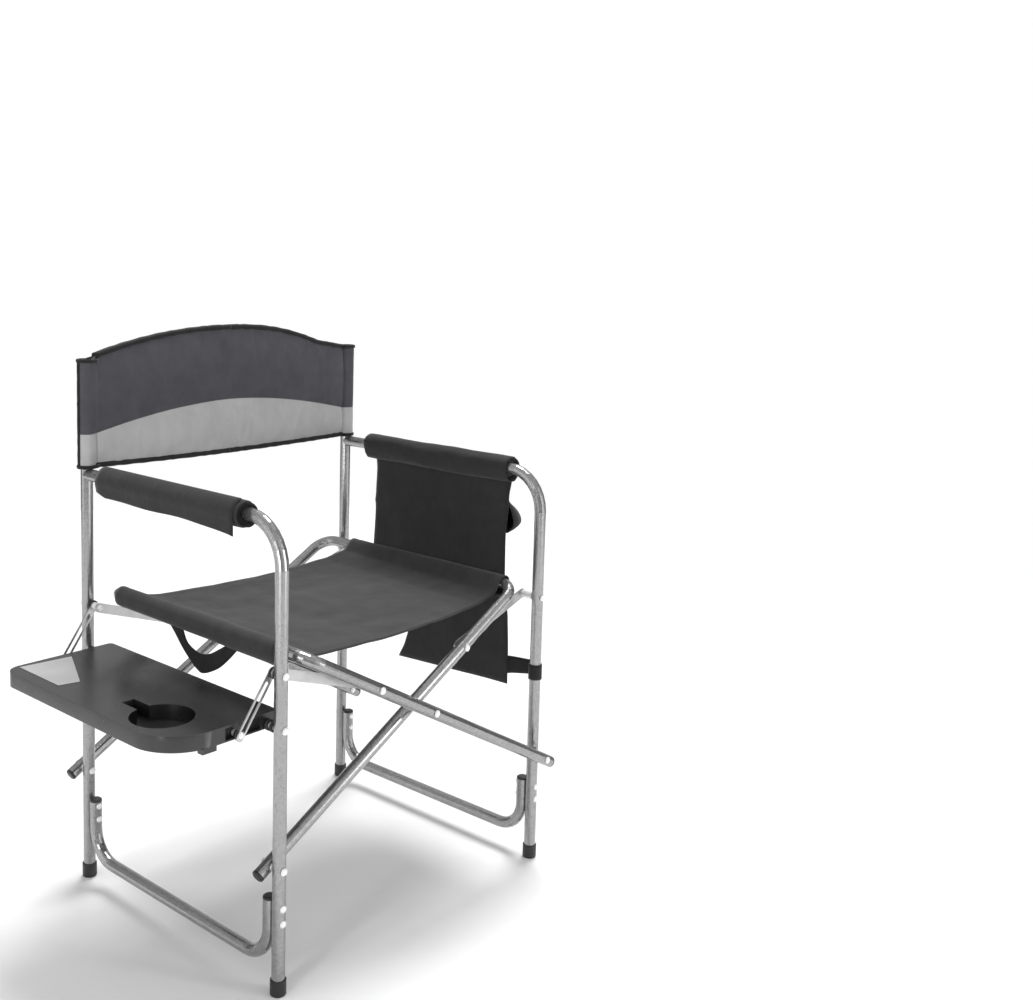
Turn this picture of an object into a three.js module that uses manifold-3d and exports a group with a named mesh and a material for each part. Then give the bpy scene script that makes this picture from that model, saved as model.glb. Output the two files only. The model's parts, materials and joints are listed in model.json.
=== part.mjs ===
// A folding director chair: two bent-tube side frames, a scissor that carries a sling seat, four flat
// struts, a fabric backrest on the rear posts, a fold-up side table on the left and a hanging organizer
// on the right.
// Millimetres. -Y is the front, +X is the organizer's side, +Z is up.
import * as THREE from 'three';
import { mergeVertices } from 'three/addons/utils/BufferGeometryUtils.js';
import Module from 'manifold-3d';

const wasm = await Module();
wasm.setup();

// ---------------------------------------------------------------- driving dimensions
const GAP = 0.3; // clearance between touching pieces
const TUBE_RADIUS = 9.5;
const LEG_X = 280; // leg axes, from the middle
const LEG_Y = 233;
const ARM_Z = 660; // arm tube axis
const ARM_BEND = 64;
const POST_TOP = 836;

const RAIL_TOP = 132; // lower rail: top of its uprights
const RAIL_AXIS_Z = 40;
const RAIL_BEND = 48;

const LOWER_PIVOT_Z = 179; // scissor pivot on the leg
const SEAT_RAIL_X = 250; // seat rail axis, from the middle
const SEAT_RAIL_Z = 471;
const SEAT_RAIL_BEND = 32;
const SCISSOR_OFFSET = 22; // scissor leg plane, from the leg plane
const SCISSOR_TAIL = 20; // scissor leg past its lower pivot

const STRUT_PIN_Z = 452;
const STRUT_REACH = 133.7; // scissor crossing to strut rivet, along the scissor leg
const STRUT_THICKNESS = 2.4;
const STRUT_WIDTH = 15;

const TABLE_HINGE_Z = 377;
const TABLE_INNER_X = 262;
const TABLE_OUTER_X = 446;
const TABLE_FRONT_Y = -206;
const TABLE_REAR_Y = 195.5; // clears the rear strut as the table stands folded
const TABLE_BOTTOM_Z = 371;
const TABLE_THICKNESS = 22;
const FRONT_CORNER = 72; // radii of the table's two outer corners
const REAR_CORNER = 24;
const CUP_RADIUS = 44.5;
const CUP_CENTRE = [-389, -118];
const SLOT_END_Y = -38; // rear end of the slot for a mug's handle
const BRACKET_PIN_X = 333;
const BRACKET_PIN_Z = 378;
const BRACKET_Y = [213.8, 215.8]; // the rear bracket's two faces; the front one mirrors them

const PAD_RADIUS = 21.5; // arm pad and organizer roll
const PAD_OFFSET = 5; // the padding hangs outward of the arm tube

const BACK_BOTTOM = 671;
const BACK_SIDE_TOP = 836;
const BACK_ARCH_TOP = 884;
const BACK_THICKNESS = 16;

const SEAT_HALF_LENGTH = 178;
const SEAT_SAG_Z = 447;
const SEAT_MIDDLE = 25; // half width of the strip between the two seat halves
const CLOTH = 2.2;

const POCKET_OUTER_X = 332;
const CENTRE_X = (TABLE_OUTER_X - POCKET_OUTER_X) / 2; // puts the whole chair's box on the origin

// ---------------------------------------------------------------- derived places
const legAngle = Math.atan2(SEAT_RAIL_Z - LOWER_PIVOT_Z, LEG_X + SEAT_RAIL_X);
const lowerReach = LEG_X / Math.cos(legAngle); // crossing to lower pivot
const upperReach = SEAT_RAIL_X / Math.cos(legAngle); // crossing to seat rail
const crossingZ = LOWER_PIVOT_Z + LEG_X * Math.tan(legAngle);
const innerFace = LEG_Y - TUBE_RADIUS; // leg's face towards the middle
const outerFace = LEG_Y + TUBE_RADIUS;
const outerLegY = LEG_Y + SCISSOR_OFFSET;
const innerLegY = LEG_Y - SCISSOR_OFFSET;
const strutRivet = {
  x: STRUT_REACH * Math.cos(legAngle),
  z: crossingZ + STRUT_REACH * Math.sin(legAngle),
};

// ---------------------------------------------------------------- materials
const material = (color, roughness, metalness) => (
  new THREE.MeshStandardMaterial({ color, roughness, metalness }));
const tubeMaterial = material(0xa9abac, 0.42, 0.7);
const rivetMaterial = material(0xe9e9e7, 0.35, 0.4);
const barMaterial = material(0xb9bab8, 0.4, 0.75);
const plasticMaterial = material(0x2c2c2e, 0.55, 0);
const tableMaterial = material(0x47474a, 0.5, 0);
const seatMaterial = material(0x4a4a4b, 0.9, 0);
const coverMaterial = material(0x363738, 0.9, 0);
const backMaterial = material(0x58575d, 0.9, 0);

// ---------------------------------------------------------------- solids
/** Turns a closed geometry's faces outward. */
function facingOut(geometry) {
  const p = geometry.attributes.position;
  const index = geometry.index.array;
  const [a, b, c] = [new THREE.Vector3(), new THREE.Vector3(), new THREE.Vector3()];
  let volume = 0;
  for (let i = 0; i < index.length; i += 3) {
    a.fromBufferAttribute(p, index[i]);
    b.fromBufferAttribute(p, index[i + 1]);
    c.fromBufferAttribute(p, index[i + 2]);
    volume += a.dot(b.cross(c));
  }
  if (volume < 0) {
    for (let i = 0; i < index.length; i += 3) {
      [index[i], index[i + 1]] = [index[i + 1], index[i]];
    }
  }
  return geometry;
}

/** A three.js geometry as a solid that can be cut and joined. */
function solid(geometry) {
  const bare = geometry.clone();
  bare.deleteAttribute('normal');
  bare.deleteAttribute('uv');
  const merged = facingOut(mergeVertices(bare, 1e-4));
  const vertProperties = merged.attributes.position.array;
  return new wasm.Manifold(new wasm.Mesh({ numProp: 3, vertProperties, triVerts: merged.index.array }));
}

/** A solid as a three.js geometry. */
function geometryOf(body) {
  const { vertProperties, triVerts } = body.getMesh();
  const geometry = new THREE.BufferGeometry();
  geometry.setAttribute('position', new THREE.BufferAttribute(vertProperties, 3));
  geometry.setIndex(new THREE.BufferAttribute(triVerts, 1));
  geometry.computeVertexNormals();
  return geometry;
}

function piece(name, body, look) {
  const mesh = new THREE.Mesh(geometryOf(body), look);
  mesh.name = name;
  return mesh;
}

function box([x0, y0, z0], [x1, y1, z1]) {
  const geometry = new THREE.BoxGeometry(x1 - x0, y1 - y0, z1 - z0);
  return solid(geometry.translate((x0 + x1) / 2, (y0 + y1) / 2, (z0 + z1) / 2));
}

/** A cylinder along Y, through (x, z). */
function rodAlongY(radius, y0, y1, x, z, sides = 16) {
  const geometry = new THREE.CylinderGeometry(radius, radius, y1 - y0, sides);
  return solid(geometry.translate(x, (y0 + y1) / 2, z));
}

/** Solid of revolution about Y, from [radius, y] points that start and end on the axis. */
function turned(points, sides = 12) {
  return new THREE.LatheGeometry(points.map(([r, y]) => new THREE.Vector2(r, y)), sides);
}

/** Extrudes an outline drawn in X and Z along Y, from y0 to y1. */
function slabAlongY(shape, y0, y1, curveSegments = 12) {
  const geometry = new THREE.ExtrudeGeometry(shape, { depth: y1 - y0, bevelEnabled: false, curveSegments });
  return solid(geometry.rotateX(Math.PI / 2).translate(0, y1, 0));
}

function circle(radius, x = 0, y = 0) {
  return new THREE.Path().absarc(x, y, radius, 0, 2 * Math.PI);
}

function disc(radius, x = 0, y = 0) {
  return new THREE.Shape().absarc(x, y, radius, 0, 2 * Math.PI);
}

/** A centreline of straight runs joined by arcs, with stations only where the tube bends or ends. */
class BentPath extends THREE.Curve {
  constructor(corners, radius, stepsPerBend = 8) {
    super();
    this.stations = [];
    const last = corners.length - 1;
    corners.forEach((corner, i) => {
      if (i === 0 || i === last) {
        const [from, to] = i === 0 ? [0, 1] : [last - 1, last];
        const heading = new THREE.Vector3().subVectors(corners[to], corners[from]);
        this.stations.push({ point: corner, tangent: heading.normalize() });
        return;
      }
      this.addBend(corners[i - 1], corner, corners[i + 1], radius, stepsPerBend);
    });
  }

  addBend(before, corner, after, radius, steps) {
    const into = new THREE.Vector3().subVectors(corner, before).normalize();
    const out = new THREE.Vector3().subVectors(after, corner).normalize();
    const turn = into.angleTo(out);
    const setback = radius * Math.tan(turn / 2);
    const start = corner.clone().addScaledVector(into, -setback);
    const axis = new THREE.Vector3().crossVectors(into, out).normalize();
    const inward = new THREE.Vector3().crossVectors(axis, into);
    const centre = start.clone().addScaledVector(inward, radius);
    for (let k = 0; k <= steps; k += 1) {
      const angle = (turn * k) / steps;
      const spoke = new THREE.Vector3().subVectors(start, centre).applyAxisAngle(axis, angle);
      this.stations.push({ point: spoke.add(centre), tangent: into.clone().applyAxisAngle(axis, angle) });
    }
  }

  get steps() {
    return this.stations.length - 1;
  }

  at(u) {
    return this.stations[Math.round(u * this.steps)];
  }

  getPoint(u) {
    return this.at(u).point.clone();
  }

  getPointAt(u) {
    return this.getPoint(u);
  }

  getTangentAt(u) {
    return this.at(u).tangent.clone();
  }
}

function tube(corners, bend, radius = TUBE_RADIUS) {
  const path = new BentPath(corners.map((c) => new THREE.Vector3(...c)), bend);
  const options = { steps: path.steps, extrudePath: path, curveSegments: 11, bevelEnabled: false };
  return solid(new THREE.ExtrudeGeometry(disc(radius), options));
}

// ---------------------------------------------------------------- pins
const PIN_RADIUS = 3;
const HOLE_RADIUS = 3.3;
const HEAD_RADIUS = 5.6;
const HEAD_HEIGHT = 2.4;
const COLLAR_RADIUS = 6.2;

/** A riveted pin along Y. collars are the [from, to] stretches that space what it passes through. */
function pin(name, x, z, y0, y1, collars = [], { headless = false } = {}) {
  const profile = [[0, y0 - HEAD_HEIGHT], [HEAD_RADIUS * 0.7, y0 - HEAD_HEIGHT], [HEAD_RADIUS, y0 - 0.9]];
  profile.push([HEAD_RADIUS, y0], [PIN_RADIUS, y0]);
  for (const [from, to] of collars) {
    profile.push([PIN_RADIUS, from], [COLLAR_RADIUS, from], [COLLAR_RADIUS, to], [PIN_RADIUS, to]);
  }
  if (headless) {
    profile.push([PIN_RADIUS, y1], [0, y1]);
  } else {
    profile.push([PIN_RADIUS, y1], [HEAD_RADIUS, y1], [HEAD_RADIUS, y1 + 0.9]);
    profile.push([HEAD_RADIUS * 0.7, y1 + HEAD_HEIGHT], [0, y1 + HEAD_HEIGHT]);
  }
  const moved = (p, q) => p[0] !== q[0] || p[1] !== q[1];
  const tidy = profile.filter((p, i) => i === 0 || moved(p, profile[i - 1]));
  const mesh = piece(name, solid(turned(tidy)), rivetMaterial);
  mesh.position.set(x, 0, z);
  return mesh;
}

const drill = (body, holes) => holes.reduce((left, [x, z, y0, y1]) => (
  left.subtract(rodAlongY(HOLE_RADIUS, y0, y1, x, z, 12))), body);

// ---------------------------------------------------------------- side frames
const FOOT_HEIGHT = 22;
const FOOT_SOLE = 4;
const FOOT_RADIUS = 11.4;
const RAIL_TO_LEG = 2 * TUBE_RADIUS + 0.6; // lower rail's uprights stand against the legs

function footCap() {
  const bore = TUBE_RADIUS + GAP;
  const profile = [[0, 0], [FOOT_RADIUS - 1, 0], [FOOT_RADIUS, 1.5], [FOOT_RADIUS, FOOT_HEIGHT]];
  profile.push([bore, FOOT_HEIGHT], [bore, FOOT_SOLE], [0, FOOT_SOLE]);
  return solid(turned(profile, 20).rotateX(Math.PI / 2));
}

function tubePlug() {
  const radius = TUBE_RADIUS - 0.2;
  const profile = [[0, 0], [radius, 0], [radius, 2.4], [TUBE_RADIUS - 2.5, 4], [0, 4]];
  return solid(turned(profile, 20).rotateX(Math.PI / 2));
}

/** One side frame about its own leg plane. pinHeights lists the holes through each leg. */
function sideFrame(side, { frontPins, rearPins }) {
  const frame = new THREE.Group();
  frame.position.x = side === 'left' ? -LEG_X : LEG_X;
  const tubeBottom = FOOT_SOLE + GAP;
  const through = (pins, y) => pins.map((z) => [0, z, y - TUBE_RADIUS - 1, y + TUBE_RADIUS + 1]);

  const armCorners = [[0, -LEG_Y, tubeBottom], [0, -LEG_Y, ARM_Z], [0, LEG_Y - 2, ARM_Z]];
  const post = new THREE.CylinderGeometry(TUBE_RADIUS + GAP, TUBE_RADIUS + GAP, 60, 24);
  const saddle = solid(post.rotateX(Math.PI / 2).translate(0, LEG_Y, ARM_Z));
  const arm = tube(armCorners, ARM_BEND).subtract(saddle);
  frame.add(piece(`${side}_arm_tube`, drill(arm, through(frontPins, -LEG_Y)), tubeMaterial));

  const rearPost = tube([[0, LEG_Y, tubeBottom], [0, LEG_Y, POST_TOP]], 1);
  frame.add(piece(`${side}_back_post`, drill(rearPost, through(rearPins, LEG_Y)), tubeMaterial));

  const railY = LEG_Y - RAIL_TO_LEG;
  const railCorners = [[-railY, RAIL_TOP], [-railY, RAIL_AXIS_Z], [railY, RAIL_AXIS_Z], [railY, RAIL_TOP]];
  const rail = tube(railCorners.map(([y, z]) => [0, y, z]), RAIL_BEND);
  frame.add(piece(`${side}_lower_rail`, rail, tubeMaterial));

  for (const [end, sign] of [['front', -1], ['rear', 1]]) {
    const foot = piece(`${side}_${end}_foot`, footCap(), plasticMaterial);
    foot.position.set(0, sign * LEG_Y, 0);
    const plug = piece(`${side}_${end}_rail_plug`, tubePlug(), plasticMaterial);
    plug.position.set(0, sign * railY, RAIL_TOP + GAP);
    frame.add(foot, plug);
  }
  return frame;
}

// ---------------------------------------------------------------- scissor, one half of it
/**
 * One scissor member with its struts and crossing pin, drawn for the right-hand seat rail. The other half
 * is the same half turned half way round about Z, so its near and far ends trade front for rear.
 */
function scissorHalf(member, strutSide, near, far) {
  const half = new THREE.Group();
  const alongLeg = (u) => [u * Math.cos(legAngle), crossingZ + u * Math.sin(legAngle)];
  const legEnd = -(lowerReach + SCISSOR_TAIL);
  const local = new THREE.Matrix4().makeRotationY(-legAngle).setPosition(0, 0, crossingZ);
  const corner = (u, y) => new THREE.Vector3(u, y, 0).applyMatrix4(local).toArray();
  const corners = [corner(legEnd, -innerLegY), corner(upperReach, -innerLegY)];
  corners.push(corner(upperReach, outerLegY), corner(legEnd, outerLegY));

  const holes = [];
  for (const y of [-innerLegY, outerLegY]) {
    for (const u of [-lowerReach, 0, STRUT_REACH]) {
      holes.push([...alongLeg(u), y - TUBE_RADIUS - 1, y + TUBE_RADIUS + 1]);
    }
  }
  half.add(piece(`scissor_tube_${member}`, drill(tube(corners, SEAT_RAIL_BEND), holes), tubeMaterial));

  for (const [end, y] of [[near, -innerLegY], [far, outerLegY]]) {
    const cap = piece(`scissor_cap_${member}_${end}`, tubePlug(), plasticMaterial);
    cap.rotation.set(0, -legAngle - Math.PI / 2, 0);
    cap.position.set(...corner(legEnd - GAP, y));
    half.add(cap);
  }

  const clear = TUBE_RADIUS + GAP;
  half.add(pin(`crossing_pin_${far}`, 0, crossingZ, innerLegY - clear, outerLegY + clear,
    [[innerLegY + clear, outerLegY - clear]]));

  // Each rivet stops short of its strut's hole, which opens that pivot.
  const { x, z } = strutRivet;
  half.add(pin(`strut_rivet_${member}_${near}`, x, z, -innerLegY - clear, -innerLegY + TUBE_RADIUS, [],
    { headless: true }));
  const farRivet = pin(`strut_rivet_${member}_${far}`, x, z, -(outerLegY + clear), -(innerFace + GAP),
    [[-(outerLegY - clear), -(innerFace + GAP)]], { headless: true });
  farRivet.rotation.z = Math.PI;
  half.add(farRivet);

  const strutPlanes = [[near, -innerLegY + clear + STRUT_THICKNESS], [far, innerFace - GAP]];
  for (const [end, back] of strutPlanes) {
    half.add(piece(`${strutSide}_${end}_strut`, strut(back - STRUT_THICKNESS, back), barMaterial));
  }
  return half;
}

/** A flat bar with round ends from the leg's pin to the scissor's rivet, between planes y0 and y1. */
function strut(y0, y1) {
  const run = new THREE.Vector2(strutRivet.x - LEG_X, strutRivet.z - STRUT_PIN_Z);
  const length = run.length();
  const radius = STRUT_WIDTH / 2;
  const outline = new THREE.Shape();
  outline.absarc(0, 0, radius, Math.PI / 2, 1.5 * Math.PI);
  outline.absarc(length, 0, radius, -Math.PI / 2, Math.PI / 2);
  outline.closePath();
  outline.holes.push(circle(HOLE_RADIUS), circle(HOLE_RADIUS, length));
  const options = { depth: y1 - y0, bevelEnabled: false, curveSegments: 6 };
  const geometry = new THREE.ExtrudeGeometry(outline, options);
  geometry.rotateZ(run.angle());
  geometry.rotateX(Math.PI / 2);
  return solid(geometry.translate(LEG_X, y1, STRUT_PIN_Z));
}

// ---------------------------------------------------------------- side table
function roundedTable() {
  const [x0, x1] = [-TABLE_OUTER_X, -TABLE_INNER_X];
  const [y0, y1] = [TABLE_FRONT_Y, TABLE_REAR_Y];
  const small = 7;
  const shape = new THREE.Shape();
  shape.moveTo(x0 + FRONT_CORNER, y0);
  shape.absarc(x1 - small, y0 + small, small, -Math.PI / 2, 0);
  shape.absarc(x1 - small, y1 - small, small, 0, Math.PI / 2);
  shape.absarc(x0 + REAR_CORNER, y1 - REAR_CORNER, REAR_CORNER, Math.PI / 2, Math.PI);
  shape.absarc(x0 + FRONT_CORNER, y0 + FRONT_CORNER, FRONT_CORNER, Math.PI, 1.5 * Math.PI);
  return shape;
}

/** The cup well's outline: a circle with a slot for a mug's handle that runs off towards the rear. */
function cupOutline() {
  const [x, y] = CUP_CENTRE;
  const slotHalf = 10;
  const bite = Math.asin(slotHalf / CUP_RADIUS);
  const shape = new THREE.Shape();
  shape.absarc(x, y, CUP_RADIUS, Math.PI / 2 + bite, 2.5 * Math.PI - bite);
  shape.lineTo(x + slotHalf, SLOT_END_Y);
  shape.lineTo(x - slotHalf, SLOT_END_Y);
  shape.closePath();
  return shape;
}

/** The stretch from an end of the table inward by depth, with some margin past both. */
const inward = (end, depth, margin) => {
  const inner = end - Math.sign(end) * depth;
  return [Math.min(end, inner) - margin, Math.max(end, inner) + margin];
};

function tableTop() {
  const upright = (shape, depth, z) => {
    const geometry = new THREE.ExtrudeGeometry(shape, { depth, bevelEnabled: false, curveSegments: 10 });
    return solid(geometry.translate(0, 0, z));
  };
  const floor = 2.5;
  let top = upright(roundedTable(), TABLE_THICKNESS, TABLE_BOTTOM_Z);
  top = top.subtract(upright(cupOutline(), TABLE_THICKNESS, TABLE_BOTTOM_Z + floor));
  for (const end of [TABLE_FRONT_Y, TABLE_REAR_Y]) {
    const [y0, y1] = inward(end, 7, 0.5);
    top = top.subtract(box([-352, y0, TABLE_BOTTOM_Z + 2], [-292, y1, TABLE_BOTTOM_Z + 19]));
    const hole = inward(end, 24, 1);
    top = drill(top, [[-LEG_X, TABLE_HINGE_Z, ...hole], [-BRACKET_PIN_X, BRACKET_PIN_Z, ...hole]]);
  }
  const [hookFront, hookFoot] = [TABLE_FRONT_Y, TABLE_BOTTOM_Z - 7];
  const hook = box([-389, hookFront, hookFoot], [-366, hookFront + 11, TABLE_BOTTOM_Z + 1]);
  return top.add(hook);
}

/** The slotted bracket: a flat bar from the strut pin down to the table's pin, with a slot along it. */
function tableBracket(y0, y1) {
  const run = new THREE.Vector2(LEG_X - BRACKET_PIN_X, BRACKET_PIN_Z - STRUT_PIN_Z);
  const length = run.length();
  const radius = 6;
  const stadium = (from, to, r, path) => {
    path.absarc(from, 0, r, Math.PI / 2, 1.5 * Math.PI);
    path.absarc(to, 0, r, -Math.PI / 2, Math.PI / 2);
    path.closePath();
    return path;
  };
  const outline = stadium(0, length + 3, radius, new THREE.Shape());
  outline.holes.push(circle(HOLE_RADIUS), stadium(17, length, HOLE_RADIUS, new THREE.Path()));
  const options = { depth: y1 - y0, bevelEnabled: false, curveSegments: 6 };
  const geometry = new THREE.ExtrudeGeometry(outline, options);
  geometry.rotateZ(run.angle());
  geometry.rotateX(Math.PI / 2);
  return solid(geometry.translate(-LEG_X, y1, STRUT_PIN_Z));
}

/** A stepped pin from the leg through a wide sleeve into the table's end, at y = end. */
function tableHingePin(name, end) {
  const [sleeve, head] = [5, outerFace + GAP];
  const reach = Math.abs(end);
  const [shoulder, tableEnd] = [-innerFace + GAP, -reach - GAP];
  const profile = [[0, -head - HEAD_HEIGHT], [HEAD_RADIUS * 0.7, -head - HEAD_HEIGHT]];
  profile.push([HEAD_RADIUS, -head - 0.9], [HEAD_RADIUS, -head], [PIN_RADIUS, -head]);
  profile.push([PIN_RADIUS, shoulder], [sleeve, shoulder], [sleeve, tableEnd], [PIN_RADIUS, tableEnd]);
  profile.push([PIN_RADIUS, -reach + 22], [0, -reach + 22]);
  const mesh = piece(name, solid(turned(profile)), rivetMaterial);
  mesh.rotation.z = end > 0 ? Math.PI : 0;
  mesh.position.set(-LEG_X, 0, TABLE_HINGE_Z);
  return mesh;
}

/** The table's own side pin, which ends just before the bracket that slides on it. */
function bracketPin(name, end) {
  const reach = Math.abs(end);
  const [inside, shoulder, tip] = [reach - 22, reach - 7 + GAP, BRACKET_Y[0] - GAP];
  const profile = [[0, inside], [PIN_RADIUS, inside], [PIN_RADIUS, shoulder]];
  profile.push([4.5, shoulder], [4.5, tip], [0, tip]);
  const mesh = piece(name, solid(turned(profile)), rivetMaterial);
  mesh.rotation.z = end < 0 ? Math.PI : 0;
  mesh.position.set(-BRACKET_PIN_X, 0, BRACKET_PIN_Z);
  return mesh;
}

// ---------------------------------------------------------------- soft goods
/** A padded sleeve round an arm tube, which runs through it off centre: the padding hangs outward. */
function armRoll(side, y0, y1) {
  const outward = Math.sign(side);
  const shape = disc(PAD_RADIUS, side + outward * PAD_OFFSET, ARM_Z);
  shape.holes.push(circle(TUBE_RADIUS + GAP, side, ARM_Z));
  return slabAlongY(shape, y0, y1);
}

/** Half of the sling seat: a sleeve round the seat rail, and the cloth from its inner side to the middle. */
function seatHalf(side) {
  const rail = side * SEAT_RAIL_X;
  const [start, top] = [rail - side * (TUBE_RADIUS + GAP + 0.4), SEAT_RAIL_Z - 3];
  const sleeveShape = disc(TUBE_RADIUS + GAP + CLOTH - 0.4, rail, SEAT_RAIL_Z);
  sleeveShape.holes.push(circle(TUBE_RADIUS + GAP, rail, SEAT_RAIL_Z));
  const cloth = new THREE.Shape();
  cloth.moveTo(start, top);
  cloth.lineTo(side * SEAT_MIDDLE, SEAT_SAG_Z + CLOTH);
  cloth.lineTo(side * SEAT_MIDDLE, SEAT_SAG_Z);
  cloth.lineTo(start, top - CLOTH);
  const half = SEAT_HALF_LENGTH;
  return slabAlongY(sleeveShape, -half, half).add(slabAlongY(cloth, -half, half));
}

function seatMiddle() {
  const reach = SEAT_MIDDLE - GAP;
  return box([-reach, -SEAT_HALF_LENGTH, SEAT_SAG_Z], [reach, SEAT_HALF_LENGTH, SEAT_SAG_Z + CLOTH]);
}

/** The carry handle under the left seat rail: a flat band that hangs in a V from its sleeve. */
function carryHandle() {
  const shape = new THREE.Shape();
  const top = 459.6;
  const outer = [[-118, top], [-87, 430], [-64, 412], [-35, 399.5], [-20, 403], [-5, 413], [15, 429]];
  outer.push([32, 443], [56, top]);
  const inner = [[15, top], [13, 447], [5, 436], [-9, 429], [-24, 426], [-49, 431], [-64, 441], [-93, top]];
  [...outer, ...inner].forEach(([y, z], i) => (i ? shape.lineTo(y, z) : shape.moveTo(y, z)));
  const geometry = new THREE.ExtrudeGeometry(shape, { depth: 3, bevelEnabled: false });
  const matrix = new THREE.Matrix4().makeBasis(
    new THREE.Vector3(0, 1, 0), new THREE.Vector3(0, 0, 1), new THREE.Vector3(1, 0, 0));
  return solid(geometry.applyMatrix4(matrix).translate(-SEAT_RAIL_X - 6.4, 0, 0));
}

/** One half of the backrest panel, from just inside its post's sleeve to the middle. */
function backPanel(side) {
  const reach = LEG_X - TUBE_RADIUS - 5;
  const rise = BACK_ARCH_TOP - BACK_SIDE_TOP;
  const top = (x) => BACK_SIDE_TOP + rise * (1 - (x / reach) ** 2.3);
  const shape = new THREE.Shape();
  shape.moveTo(side * GAP, BACK_BOTTOM);
  shape.lineTo(side * reach, BACK_BOTTOM);
  for (let k = 8; k >= 0; k -= 1) {
    const x = GAP + ((reach - GAP) * k) / 8;
    shape.lineTo(side * x, top(x));
  }
  return slabAlongY(shape, LEG_Y - BACK_THICKNESS / 2, LEG_Y + BACK_THICKNESS / 2);
}

function backSleeve(side) {
  const [inner, outer] = [TUBE_RADIUS + GAP, TUBE_RADIUS + 4];
  const [floor, top] = [BACK_SIDE_TOP + GAP, BACK_SIDE_TOP + 3];
  const profile = [[inner, BACK_BOTTOM], [outer, BACK_BOTTOM], [outer, top], [0, top]];
  profile.push([0, floor], [inner, floor], [inner, BACK_BOTTOM]);
  const geometry = turned(profile, 20).rotateX(Math.PI / 2);
  return solid(geometry.translate(side * LEG_X, LEG_Y, 0));
}

// ---------------------------------------------------------------- organizer
const PANEL_X = [LEG_X + 6, LEG_X + 9];
const ORGANIZER_FRONT = -168;

function inPanelPlane(points, [x0, x1]) {
  const shape = new THREE.Shape();
  points.forEach(([y, z], i) => (i ? shape.lineTo(y, z) : shape.moveTo(y, z)));
  const geometry = new THREE.ExtrudeGeometry(shape, { depth: x1 - x0, bevelEnabled: false });
  const matrix = new THREE.Matrix4().makeBasis(
    new THREE.Vector3(0, 1, 0), new THREE.Vector3(0, 0, 1), new THREE.Vector3(1, 0, 0));
  return solid(geometry.applyMatrix4(matrix).translate(x0, 0, 0));
}

function organizerPanel() {
  const top = ARM_Z - PAD_RADIUS - 1;
  const outline = [[ORGANIZER_FRONT, top], [145, top], [150, 450], [132, 400], [70, 372], [50, 336]];
  outline.push([60, 300], [76, 278], [-176, 286], [-175, 400]);
  return inPanelPlane(outline.reverse(), PANEL_X);
}

/** An open-topped pocket against the panel's outer face. */
function pocket([y0, y1], [z0, z1], depth) {
  const back = PANEL_X[1] + GAP;
  const shell = box([back, y0, z0], [back + depth, y1, z1]);
  return shell.subtract(box([back - 1, y0 + CLOTH, z0 + CLOTH], [back + depth - CLOTH, y1 - CLOTH, z1 + 1]));
}

/** The band that ties the organizer's front edge to the front leg. */
function organizerStrap() {
  const [z0, z1] = [310, 331];
  const [inner, outer] = [TUBE_RADIUS + GAP, TUBE_RADIUS + GAP + 1.8];
  const profile = [[inner, z0], [outer, z0], [outer, z1], [inner, z1], [inner, z0]];
  const ring = solid(turned(profile, 20).rotateX(Math.PI / 2).translate(LEG_X, -LEG_Y, 0));
  return ring.add(box([LEG_X + inner + 0.1, -LEG_Y, z0], [LEG_X + outer - 0.1, -176 - GAP, z1]));
}

// ---------------------------------------------------------------- assembly
const chair = new THREE.Group();
chair.name = 'director_chair';
chair.position.x = CENTRE_X;

const leftPins = [LOWER_PIVOT_Z, TABLE_HINGE_Z, STRUT_PIN_Z];
chair.add(sideFrame('left', { frontPins: leftPins, rearPins: leftPins }));
const rightPins = [LOWER_PIVOT_Z, STRUT_PIN_Z];
chair.add(sideFrame('right', { frontPins: rightPins, rearPins: rightPins }));

const scissorA = scissorHalf('a', 'left', 'rear', 'front');
scissorA.rotation.z = Math.PI;
chair.add(scissorA, scissorHalf('b', 'right', 'front', 'rear'));

// Lower pivots: scissor b's legs stand behind the left legs, scissor a's in front of the right ones.
const clear = TUBE_RADIUS + GAP;
const washer = [innerLegY + clear, innerFace - GAP];
chair.add(pin('left_front_lower_pivot', -LEG_X, LOWER_PIVOT_Z, -outerFace - GAP, -innerLegY + clear,
  [[-washer[1], -washer[0]]]));
chair.add(pin('left_rear_lower_pivot', -LEG_X, LOWER_PIVOT_Z, innerFace - GAP, outerLegY + clear,
  [[outerFace + GAP, outerLegY - clear]]));
chair.add(pin('right_front_lower_pivot', LEG_X, LOWER_PIVOT_Z, -outerLegY - clear, -innerFace + GAP,
  [[-outerLegY + clear, -outerFace - GAP]]));
chair.add(pin('right_rear_lower_pivot', LEG_X, LOWER_PIVOT_Z, innerLegY - clear, outerFace + GAP,
  [washer]));

// Strut pins on the legs. On the left they also carry the table's two slotted brackets.
const nearStrut = innerLegY - clear - STRUT_THICKNESS; // the strut that stands off its leg
const closeStrut = innerFace - GAP - STRUT_THICKNESS; // the strut that lies against its leg
chair.add(pin('left_front_strut_pin', -LEG_X, STRUT_PIN_Z, -outerFace - GAP, -BRACKET_Y[0] + GAP,
  [[-closeStrut + GAP, -BRACKET_Y[1] - GAP]]));
chair.add(pin('left_rear_strut_pin', -LEG_X, STRUT_PIN_Z, nearStrut - GAP, outerFace + GAP,
  [[innerLegY - clear + GAP, BRACKET_Y[0] - GAP], [BRACKET_Y[1] + GAP, innerFace - GAP]]));
chair.add(pin('right_front_strut_pin', LEG_X, STRUT_PIN_Z, -outerFace - GAP, -nearStrut + GAP,
  [[-innerFace + GAP, -innerLegY + clear - GAP]]));
chair.add(pin('right_rear_strut_pin', LEG_X, STRUT_PIN_Z, closeStrut - GAP, outerFace + GAP));

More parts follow.
